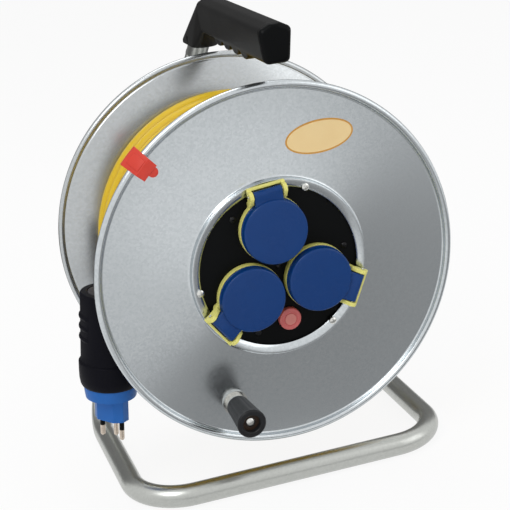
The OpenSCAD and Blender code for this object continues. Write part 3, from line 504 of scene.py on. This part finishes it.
# plug on the tail's end; it is drawn along its own axis, downwards
plug = {
    "at": tailRoute[-1], "topRadius": 21.5, "topRound": 1.4, "taperFrom": 1.6, "taperSteps": 8,
    "waistRadius": 22.8, "step": 55, "stepFoot": (0.2, 0.5), "stepEdge": (-0.9, 0.8), "collarRadius": 24.5,
    "collarRound": 1.2, "collarRise": 2.2, "collarSide": [(0, 9), (-0.2, 15)], "length": 77,
    "mouth": [(-1.0, -2.4), (-1.9, -0.7)], "insertRadius": 21.5, "insertGap": 0.3, "hollowRadius": 18.7,
    "hollowTop": 10, "cableGap": 0.2, "glandRadius": 15.7, "glandDepth": 6, "glandEdge": 0.3, "around": 128,
    "ribs": 3, "ribPitch": 8.6, "ribRadius": 2.2, "ribSink": 1.1, "ribArc": 70, "ribFirst": 19,
    "ribSteps": 24, "ribFade": 3, "ribDive": 1.6, "ribSides": 16, "sharp": 40, "glandRounding": 0.7,
    "insertRounding": 0.9,
}


def plugPlace():
    # lathes run along local Y, which points down the plug
    down = Matrix(((1, 0, 0, 0), (0, 0, 1, 0), (0, -1, 0, 0), (0, 0, 0, 1)))
    tilt = Matrix.Rotation(math.radians(tailEnds["lean"]), 4, "Y")
    return Matrix.Translation(plug["at"] * mm) @ tilt @ down @ Matrix.Scale(mm, 4)


def sleeveProfile():
    top, waist, wide = plug["topRadius"], plug["waistRadius"], plug["collarRadius"]
    step, length, soft, curl = plug["step"], plug["length"], plug["topRound"], plug["collarRound"]
    gland, edge, deep = plug["glandRadius"], plug["glandEdge"], plug["glandDepth"]
    start, count = plug["taperFrom"], plug["taperSteps"]
    hollow, roof, hole = plug["hollowRadius"], plug["hollowTop"], cable["diameter"] / 2 + plug["cableGap"]
    profile = [(gland, edge), (gland + edge, 0), (top - soft, 0)]
    profile += arcPoints(top - soft, soft, soft, -90, -4, 6)
    for k in range(1, count + 1):
        profile.append((top + (waist - top) * k / count, start + (step - start) * k / count))
    profile += shifted([plug["stepFoot"]], waist, step) + shifted([plug["stepEdge"]], wide, step)
    profile += arcPoints(wide - curl, step + plug["collarRise"], curl, -75, 0, 5)
    profile += shifted(plug["collarSide"], wide, step) + shifted(plug["mouth"], wide, length)
    profile += [(plug["insertRadius"] + plug["insertGap"], length), (hollow, length), (hollow, roof)]
    profile += [(hole, roof), (hole, deep), (gland, deep), (gland, edge)]
    return profile


def ribPath(depth):
    along = depth / plug["step"]
    r = plug["topRadius"] + (plug["waistRadius"] - plug["topRadius"]) * along - plug["ribSink"]
    count = plug["ribSteps"]
    path = []
    for j in range(count + 1):
        a = math.radians(180 - plug["ribArc"] / 2 + plug["ribArc"] * j / count)
        low = r - plug["ribDive"] * (1 - min(1, min(j, count - j) / plug["ribFade"]))
        path.append(Vector((low * math.cos(a), depth, low * math.sin(a))))
    return path


def makeSleeve():
    bm = bmesh.new()
    lathe(bm, sleeveProfile(), plug["around"])
    body = addPiece("plugSleeve", bm, plugPlace(), finish["rubber"])
    for k in range(plug["ribs"]):
        rib = bmesh.new()
        sweep(rib, ribPath(plug["ribFirst"] + k * plug["ribPitch"]), plug["ribRadius"], plug["ribSides"])
        joinSolid(body, addPiece("rib", rib, plugPlace(), finish["rubber"]))
    smoothBy(body, plug["sharp"])
    return attach(body, "stand", "black_rubber", "plug_sleeve")


sleeve = makeSleeve()
gland = roundedCopy("plugGland", "plug_gland", finish["gland"], plug["glandRounding"])
attach(gland, "stand", "grey_plastic", "plug_gland")
insert = roundedCopy("plugInsert", "plug_insert", finish["insert"], plug["insertRounding"])
attach(insert, "stand", "light_blue_plastic", "plug_insert")
dressNode("plug_pins", finish["nickel"])
print("plug made")

# lids: a shallow cup with a lip, and a hinge tab that lies a step below its top
lid = {"count": 3, "radius": 26, "top": -11, "bottom": -3.4, "wall": 1.8, "round": 1.5, "flare": 0.5,
       "crown": [(0, 0), (8, 0), (16, 0.02)], "crownEdge": [(-0.6, 0.06)], "crownDrop": 0.1, "lip": 1.6,
       "lipForm": [(-0.4, -0.3), (-0.1, 0), (0, 0.25)], "foot": 0.5, "insideRound": 1.2, "around": 128,
       "hinge": (32, -7.96), "knuckle": 2.9, "tabWidth": 22.6, "tabTop": [(20.6, 1.7), (27.4, 1.5)],
       "tabEnd": (1.6, 0.4), "tabFoot": [(22, 0), (20.6, -1)], "tabRound": 0.7, "tabSegments": 3,
       "firstAngle": 96, "circle": 32, "sharp": 40, "collarRound": 0.5}


def lidProfile():
    r, top, bottom, wall, soft = lid["radius"], lid["top"], lid["bottom"], lid["wall"], lid["round"]
    foot, inside = lid["foot"], lid["insideRound"]
    high = r - lid["flare"]
    profile = shifted(lid["crown"], 0, top) + shifted(lid["crownEdge"], high - soft, top)
    profile += arcPoints(high - soft, top + lid["crownDrop"] + soft, soft, -88, -4, 8)
    profile += shifted(lid["lipForm"], r, bottom - lid["lip"]) + [(r, bottom - foot)]
    profile += arcPoints(r - foot, bottom - foot, foot, 0, 90, 3)
    profile += [(r - wall, bottom), (r - wall, top + wall + inside)]
    profile += [(r - wall - inside, top + wall), (0, top + wall)]
    return profile


def makeLid(number):
    name = "lid_%d" % number
    place = drumFrame(lid["firstAngle"] + drum["third"] * (number - 1), lid["circle"])
    bm = bmesh.new()
    lathe(bm, lidProfile(), lid["around"])
    cup = addPiece("lidCup%d" % number, bm, place, finish["lid"])
    hx, hy = lid["hinge"]
    k = lid["knuckle"]
    outline = shifted(lid["tabTop"], 0, lid["top"]) + [(hx - lid["tabEnd"][0], lid["top"] + lid["tabEnd"][1])]
    outline += arcPoints(hx, hy, k, -84, 90, 14) + shifted(lid["tabFoot"], 0, hy + k)
    bm = bmesh.new()
    prism(bm, outline, -lid["tabWidth"] / 2, lid["tabWidth"] / 2)
    tab = addPiece("tab", bm, place, finish["lid"])
    addModifier(tab, "BEVEL", width=lid["tabRound"] * mm, segments=lid["tabSegments"], limit_method="ANGLE",
                angle_limit=math.radians(lid["sharp"]))
    applyAll(tab)
    shell = smoothBy(joinSolid(cup, tab), lid["sharp"])
    attach(shell, name, "blue_plastic", name)


for n in range(1, lid["count"] + 1):
    makeLid(n)
    collar = roundedCopy("socketCollar%d" % n, "collar_%d" % n, finish["collar"], lid["collarRound"])
    attach(collar, "drum", "pale_yellow_plastic", "collar_%d" % n)
print("lids and collars made")

# screws with a domed head and a cross recess
screws = {
    "ring": {"node": "ring_screws", "angle": 67, "circle": 65.5, "seat": -0.4, "radius": 3.0, "height": 2.4,
             "finish": "bright", "slot": "bright_steel", "count": 3, "tip": 9.0},
    "plate": {"node": "plate_screws", "angle": 127, "circle": 55, "seat": 2.5, "radius": 2.5, "height": 1.6,
              "finish": "dark", "slot": "dark_steel", "count": 3, "tip": 18.0},
    "centre": {"node": "centre_screw", "angle": 20, "circle": 0, "seat": 2.5, "radius": 2.5, "height": 1.6,
               "finish": "dark", "slot": "dark_steel", "count": 1, "tip": 18.0},
}
screwForm = {"dome": 1.6, "domeAngles": range(0, 37, 4), "edge": 0.15, "rim": 0.5, "shank": 1.5,
             "around": 40, "recessTurns": (20, 110), "recessLength": 1.25, "recessDepth": 2.0,
             "recessWidth": 0.62, "sharp": 30}


def screwProfile(s):
    crown, seat, r = s["seat"] - s["height"], s["seat"], s["radius"]
    dome, shank = r * screwForm["dome"], screwForm["shank"]
    angles = [math.radians(t) for t in screwForm["domeAngles"]]
    rise = [(dome * math.sin(t), crown + dome * (1 - math.cos(t))) for t in angles]
    profile = [p for p in rise if p[0] < r - screwForm["edge"]]
    profile += [(r, seat - screwForm["rim"]), (r, seat), (shank, seat), (shank, s["tip"]), (0, s["tip"])]
    return profile


def makeScrews(name, s):
    whole = None
    size = Matrix.Diagonal((s["radius"] * screwForm["recessLength"], screwForm["recessDepth"],
                            screwForm["recessWidth"], 1))
    for k in range(s["count"]):
        place = drumFrame(s["angle"] + drum["third"] * k, s["circle"])
        bm = bmesh.new()
        lathe(bm, screwProfile(s), screwForm["around"])
        head = addPiece(name + "Screws", bm, place, finish[s["finish"]])
        for turn in screwForm["recessTurns"]:
            cut = bmesh.new()
            bmesh.ops.create_cube(cut, size=1)
            cut.transform(Matrix.Translation((0, s["seat"] - s["height"], 0))
                          @ Matrix.Rotation(math.radians(turn), 4, "Y") @ size)
            joinSolid(head, addPiece("cut", cut, place, finish[s["finish"]]), operation="DIFFERENCE")
        whole = head if whole is None else joinSolid(whole, head)
    smoothBy(whole, screwForm["sharp"])
    attach(whole, "drum", s["slot"], s["node"])


for name, s in screws.items():
    makeScrews(name, s)
print("screws made")

# reset button: a pink cap with a groove round its paler core, on a stem
button = {"angle": 276, "circle": 44, "radius": 9, "front": -2.0, "back": 4.0, "coreRadius": 4.6,
          "middle": 0.15, "groove": [(0, 0.25), (0.25, 0.75), (0.6, 0.75), (0.9, 0.35)],
          "shoulder": [(-1.4, 0.5)], "round": 1.2, "roundDepth": 1.7, "stem": 3, "stemLength": 13.5,
          "around": 72, "coreEdge": 0.1, "coreDepth": 1}


def makeButton():
    r, front, back = button["radius"], button["front"], button["back"]
    core, stem, end = button["coreRadius"], button["stem"], button["back"] + button["stemLength"]
    profile = [(0, front + button["middle"])] + shifted(button["groove"], core, front)
    profile += shifted(button["shoulder"], r, front)
    profile += arcPoints(r - button["round"], front + button["roundDepth"], button["round"], -84, 0, 6)
    profile += [(r, back), (stem, back), (stem, end), (0, end)]
    bm = bmesh.new()
    lathe(bm, profile, button["around"])
    place = drumFrame(button["angle"], button["circle"])
    cap = addPiece("resetButton", bm, place, finish["button"])
    paintMiddle(cap, place, finish["buttonCore"], core + button["coreEdge"], front + button["coreDepth"])
    attach(cap, "reset_button", "pink_plastic", "reset_button")


makeButton()

# crank knob: tapered, softly fluted, with the pin's head down in its recess
knob = {"angle": 246.3, "circle": 114.6, "back": -5.0, "front": -41.0, "baseRadius": 9, "frontRadius": 11.5,
        "flutes": 12, "fluteDepth": 0.45, "fluteFrom": 0.04, "fluteTo": 0.96, "fluteFade": 0.12,
        "recessRadius": 7, "recessDepth": 5, "recessEdge": 0.5, "bore": 2.8, "baseEdge": 0.8,
        "sideFrom": 0.03, "sideShare": 0.92, "sideSteps": 24, "frontRound": 1.4, "wall": 1, "around": 144,
        "bushEdge": 0.1}


def fluteWave(a, r, y):
    along = (knob["back"] - y) / (knob["back"] - knob["front"])
    low, high, fade = knob["fluteFrom"], knob["fluteTo"], knob["fluteFade"]
    if r < knob["recessRadius"] + knob["wall"] or not low < along < high:
        return 0
    ends = min(1, (along - low) / fade, (high - along) / fade)
    return knob["fluteDepth"] * ends * (abs(math.cos(knob["flutes"] / 2 * a)) - 1)


def makeKnob():
    back, front, base, wide = knob["back"], knob["front"], knob["baseRadius"], knob["frontRadius"]
    bore, recess, edge, soft = knob["bore"], knob["recessRadius"], knob["recessEdge"], knob["frontRound"]
    deep = front + knob["recessDepth"]
    count = knob["sideSteps"]
    profile = [(bore, back), (base - knob["baseEdge"], back)]
    for t in [knob["sideFrom"] + knob["sideShare"] * k / count for k in range(count + 1)]:
        profile.append((base + (wide - base) * t, back - (back - front) * t))
    profile += arcPoints(wide - soft, front + soft, soft, 0, -90, 5)
    profile += [(recess + edge, front), (recess, front + edge), (recess, deep), (bore, deep), (bore, back)]
    bm = bmesh.new()
    lathe(bm, profile, knob["around"], fluteWave)
    place = drumFrame(knob["angle"], knob["circle"])
    grip = addPiece("crankKnob", bm, place, finish["knob"])
    paintMiddle(grip, place, finish["bush"], recess - knob["bushEdge"], deep + knob["bushEdge"])
    attach(grip, "crank_knob", "black_plastic", "crank_knob")


makeKnob()
print("button and knob made")

# cable clip on the rim, with a pad in a groove on its slanted face
clip = {"angle": 135, "faceMiddle": (145.6, -3.0, 0), "slope": (-9.6, -13.0, 0), "padLength": 12.4,
        "padWidth": 9.4, "padShift": 0.9, "padRise": 0.55, "padSink": 0.2, "padRound": 0.35, "padSegments": 3,
        "groove": 0.9, "grooveDepth": 0.7, "cutTop": 3, "round": 0.5, "sharp": 40}


def clipBlock(name, long, wide, low, high):
    along = Vector(clip["slope"]).normalized()
    across = Vector((0, 0, 1))
    outward = across.cross(along)
    turn = Matrix((along, across, outward)).transposed().to_4x4()
    lift = Matrix.Translation((clip["padShift"], 0, (low + high) / 2))
    size = Matrix.Diagonal((long, wide, high - low, 1))
    bm = bmesh.new()
    bmesh.ops.create_cube(bm, size=1)
    bm.transform(Matrix.Translation(clip["faceMiddle"]) @ turn @ lift @ size)
    return addPiece(name, bm, drumFrame(clip["angle"], 0), finish["clip"])


def makeClip():
    strip = roundedCopy("cableClip", "cable_clip", finish["clip"], clip["round"])
    long, wide, deep, gap = clip["padLength"], clip["padWidth"], clip["grooveDepth"], 2 * clip["groove"]
    cut = clipBlock("cut", long + gap, wide + gap, -deep, clip["cutTop"])
    pad = clipBlock("pad", long, wide, -deep - clip["padSink"], clip["padRise"])
    addModifier(pad, "BEVEL", width=clip["padRound"] * mm, segments=clip["padSegments"])
    applyAll(pad)
    joinSolid(strip, cut, operation="DIFFERENCE")
    smoothBy(joinSolid(strip, pad), clip["sharp"])
    attach(strip, "cable_clip", "red_plastic", "cable_clip")


makeClip()
print("clip made")

# flanges: the front one is a pressed sheet, from the ring that dips in to the plate out to a slim rolled rim;
# the rear one has a line pressed in beside its rim; the plate's edge goes under the ring
flange = {"ringTop": 70.0, "ringCrest": -1.5, "dipRound": 9.68, "dipEnd": 130, "dipBack": 93,
          "ringWidth": 1.0, "ringNeck": 0.2, "foot": [(71.1, 2.3), (71.8, 2.8), (73.0, 3.0)],
          "sheet": 1.2, "bead": 2.8, "run": 1.6, "hubHole": 14.2, "seat": 73,
          "line": [(138.5, 0), (139.1, 0.45), (139.6, 0.9), (140.2, 0.9), (140.8, 0)],
          "around": 192, "sharp": 50}
plate = {"face": 2.5, "cutInner": 61.3, "cutOuter": 68.0, "cutFront": -1.5, "sharp": 30}


def frontProfile():
    front, back = drum["sheetFront"], drum["sheetBack"]
    top, crest, dip, neck = flange["ringTop"], flange["ringCrest"], flange["dipRound"], flange["ringNeck"]
    bead, run, sheet = flange["bead"], flange["run"], flange["sheet"]
    beadR, beadY = drum["flangeRadius"] - bead, back - bead
    profile = arcPoints(top, crest + dip, dip, -flange["dipEnd"], -90, 18)
    for x, y in arcPoints(0, 0, 1, -82, -20, 10):
        profile.append((top + flange["ringWidth"] * x, front + (front - crest) * y))
    profile += flange["foot"] + arcPoints(beadR - bead - run, front - run, run, 90, 4, 8)
    profile += arcPoints(beadR, beadY, bead, 180, 450, 28)
    profile += [(top - neck, back), (top - neck, crest + sheet)]
    profile += arcPoints(top, crest + dip, dip - sheet, -flange["dipBack"], -flange["dipEnd"], 12)
    return profile + profile[:1]


def rearProfile():
    bead, run, inside = flange["bead"], flange["run"], drum["rearInside"]
    outside = inside + flange["sheet"]
    beadR, beadY = drum["flangeRadius"] - bead, inside + bead
    profile = [(flange["hubHole"], inside), (flange["seat"], inside)] + shifted(flange["line"], 0, inside)
    profile += arcPoints(beadR, beadY, bead, -90, 180, 28)
    profile += arcPoints(beadR - bead - run, outside + run, run, -4, -90, 8)
    profile += [(flange["seat"], outside), (flange["hubHole"], outside)]
    return profile + profile[:1]


def makeFlange(name, profile, key, node):
    bm = bmesh.new()
    lathe(bm, profile, flange["around"])
    sheet = addPiece(name, bm, drumFrame(0, 0), finish[key], flange["sharp"])
    attach(sheet, "drum", "galvanised_steel", node)


def makePlate():
    disc = addPiece("socketPlate", copyMesh("socket_plate"), Matrix.Identity(4), finish["plate"])
    edge = bmesh.new()
    latheRing(edge, plate["cutInner"], plate["cutOuter"], plate["cutFront"], plate["face"], flange["around"])
    joinSolid(disc, addPiece("edge", edge, drumFrame(0, 0), finish["plate"]), operation="DIFFERENCE")
    attach(smoothBy(disc, plate["sharp"]), "drum", "black_plastic", "socket_plate")


makeFlange("frontFlange", frontProfile(), "sheet", "front_flange")
# the rear flange takes the darker copy of the sheet finish, painted shade
makeFlange("rearFlange", rearProfile(), "shadedRearSheet", "rear_flange")
makePlate()
print("flanges and plate made")

# handle: the CAD form, remeshed and eased so that its edges are moulded
handle = {"voxel": 0.9, "smooth": 5, "smoothShare": 0.5, "sharp": 60, "capRound": 2.4}


def makeHandle():
    grip = addPiece("handleGrip", copyMesh("handle"), Matrix.Identity(4), finish["handle"])
    addModifier(grip, "REMESH", mode="VOXEL", voxel_size=handle["voxel"] * mm)
    addModifier(grip, "SMOOTH", factor=handle["smoothShare"], iterations=handle["smooth"])
    smoothBy(applyAll(grip), handle["sharp"])
    attach(grip, "stand", "black_plastic", "handle")


makeHandle()
cap = roundedCopy("handleEndCap", "handle_end_cap", finish["cap"], handle["capRound"])
attach(cap, "stand", "black_plastic", "handle_end_cap")
print("handle made")

# a blank oval label on the front flange: an edged oval with a paler one on it
label = {"centre": (41.5, 96.5), "half": (27.5, 13), "turn": 3, "thick": 0.15, "border": 1.3, "points": 96,
         "paperRise": 0.06, "paperSink": 0.1, "faceReach": 0.02}


def makeLabel():
    bm = bmesh.new()
    cx, cz = label["centre"]
    front = drum["sheetFront"]
    edge = front - label["thick"]
    angles = [2 * math.pi * k / label["points"] for k in range(label["points"])]
    for shrink, low, high in ((0, edge, front),
                              (label["border"], edge - label["paperRise"], front - label["paperSink"])):
        a, b = label["half"][0] - shrink, label["half"][1] - shrink
        prism(bm, [(a * math.cos(t), b * math.sin(t)) for t in angles], low, high)
    flat = Matrix(((1, 0, 0, 0), (0, 0, 1, 0), (0, 1, 0, 0), (0, 0, 0, 1)))
    lay = Matrix.Translation((cx, 0, cz)) @ Matrix.Rotation(math.radians(-label["turn"]), 4, "Y") @ flat
    paper = addPiece("faceLabel", bm, drumFrame(0, 0) @ lay, finish["labelEdge"])
    paper.data.materials.append(finish["labelPaper"])
    nearest = min(v.co.y for v in paper.data.vertices)
    for face in paper.data.polygons:
        if face.center.y < nearest + label["faceReach"] * mm:
            face.material_index = 1
    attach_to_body(paper, "drum")


makeLabel()

# what stays as the CAD made it gets its own finish
kept = {
    "sheet": ["barrel", "mounting_ring", "bearing_plate"],
    "tube": ["frame_tube"],
    "bright": ["axle", "axle_washers", "axle_nuts", "hub_rivets", "barrel_rivets", "lid_pins", "lid_springs",
               "crank_pin", "crank_washer", "crank_spacer", "crank_nut"],
    "dark": ["handle_screw"],
    "brass": ["socket_contacts"],
    "plate": ["plug_pin_collars"],
    "grey": ["socket_box", "thermal_cutout"],
    "ivory": ["hub_sleeve", "terminal_block"],
    "collar": ["socket_body_1", "socket_body_2", "socket_body_3", "socket_insert_1", "socket_insert_2",
               "socket_insert_3"],
    "sheath": ["cable_lead_in"],
    "rubber": ["cable_grommet"],
}
for key, names in kept.items():
    for nodeName in names:
        dressNode(nodeName, finish[key])
print("CAD nodes finished")

# floor, backdrop and light
studio = {"floorSize": 8, "floorDrop": 0.0005, "floorTone": 0.86, "white": 0.89, "world": 0.62,
          "aim": (0, 0, 0.18)}


def emptyMaterial(name):
    material = bpy.data.materials.new(name)
    material.use_nodes = True
    material.node_tree.nodes.clear()
    return material, material.node_tree


def grey(tone):
    return (tone, tone, tone, 1)


# what the camera sees, itself or in a mirror, apart from what lights the reel
def seenRays(tree):
    rays = tree.nodes.new("ShaderNodeLightPath").outputs
    mirrored = mathNode(tree, "MAXIMUM", rays["Is Glossy Ray"], rays["Is Transmission Ray"])
    return mathNode(tree, "MAXIMUM", rays["Is Camera Ray"], mirrored)


def makeFloor():
    bm = bmesh.new()
    bmesh.ops.create_grid(bm, x_segments=1, y_segments=1, size=studio["floorSize"] / 2)
    material, tree = emptyMaterial("paleFloor")
    out = tree.nodes.new("ShaderNodeOutputMaterial")
    matt = addNode(tree, "ShaderNodeBsdfDiffuse", Color=grey(studio["floorTone"]))
    glow = addNode(tree, "ShaderNodeEmission", Color=grey(1), Strength=1.0)
    mix = tree.nodes.new("ShaderNodeMixShader")
    share = mathNode(tree, "MULTIPLY", seenRays(tree), studio["white"])
    for given, socket in zip((share, matt.outputs[0], glow.outputs[0]), mix.inputs):
        tree.links.new(given, socket)
    tree.links.new(mix.outputs[0], out.inputs[0])
    floor = addPiece("floor", bm, Matrix.Translation((0, 0, -studio["floorDrop"])), material)


def makeWorld():
    world = bpy.data.worlds.new("studio")
    bpy.context.scene.world = world
    world.use_nodes = True
    tree = world.node_tree
    shade = tree.nodes["Background"]
    tree.links.new(spread(tree, seenRays(tree), studio["world"], 1.0), shade.inputs["Strength"])
    shade.inputs["Color"].default_value = grey(1)


# dark cards seen only in reflections: two on the floor before the reel grade the sheet towards its lower
# right, two behind, on the floor and standing, keep the sides of black and bright pieces from washing out
cards = {
    "frontCard": {"tone": 0.34, "corners": [(-200, -150, 1), (900, -150, 1), (900, -1440, 1)]},
    "softCard": {"tone": 0.74, "corners": [(-420, -150, 0.5), (900, -150, 0.5), (900, -1800, 0.5)]},
    "rearCard": {"tone": 0.15, "corners": [(-1500, 300, 1), (1500, 300, 1), (1500, 1300, 1),
                                           (-1500, 1300, 1)]},
    "backCard": {"tone": 0.22, "corners": [(-1500, 1300, 0), (2300, 1300, 0), (2300, 1300, 1500),
                                           (-1500, 1300, 1500)]},
}


def makeCard(name, card):
    bm = bmesh.new()
    bm.faces.new([bm.verts.new(Vector(c) * mm) for c in card["corners"]])
    material, tree = emptyMaterial(name)
    glow = addNode(tree, "ShaderNodeEmission", Color=grey(card["tone"]), Strength=1.0)
    tree.links.new(glow.outputs[0], tree.nodes.new("ShaderNodeOutputMaterial").inputs[0])
    sheet = addPiece(name, bm, Matrix.Identity(4), material)
    sheet.visible_camera = sheet.visible_diffuse = sheet.visible_shadow = False
    sheet.visible_transmission = False


lamps = {
    "key": {"at": (-0.9, -0.9, 1.5), "size": 0.9, "power": 10},
    "fill": {"at": (1.3, -1.0, 1.0), "size": 1.2, "power": 4},
    "top": {"at": (0.0, 0.5, 1.7), "size": 1.0, "power": 6},
}


def makeLamp(name, lamp):
    data = bpy.data.lights.new(name, "AREA")
    data.size = lamp["size"]
    data.energy = lamp["power"]
    light = bpy.data.objects.new(name, data)
    light.location = lamp["at"]
    aim = Vector(studio["aim"]) - Vector(lamp["at"])
    light.rotation_euler = aim.to_track_quat("-Z", "Y").to_euler()
    bpy.context.collection.objects.link(light)


makeFloor()
makeWorld()
for name, card in cards.items():
    makeCard(name, card)
for name, lamp in lamps.items():
    makeLamp(name, lamp)
bpy.context.scene.view_settings.view_transform = "Standard"
print("studio set")
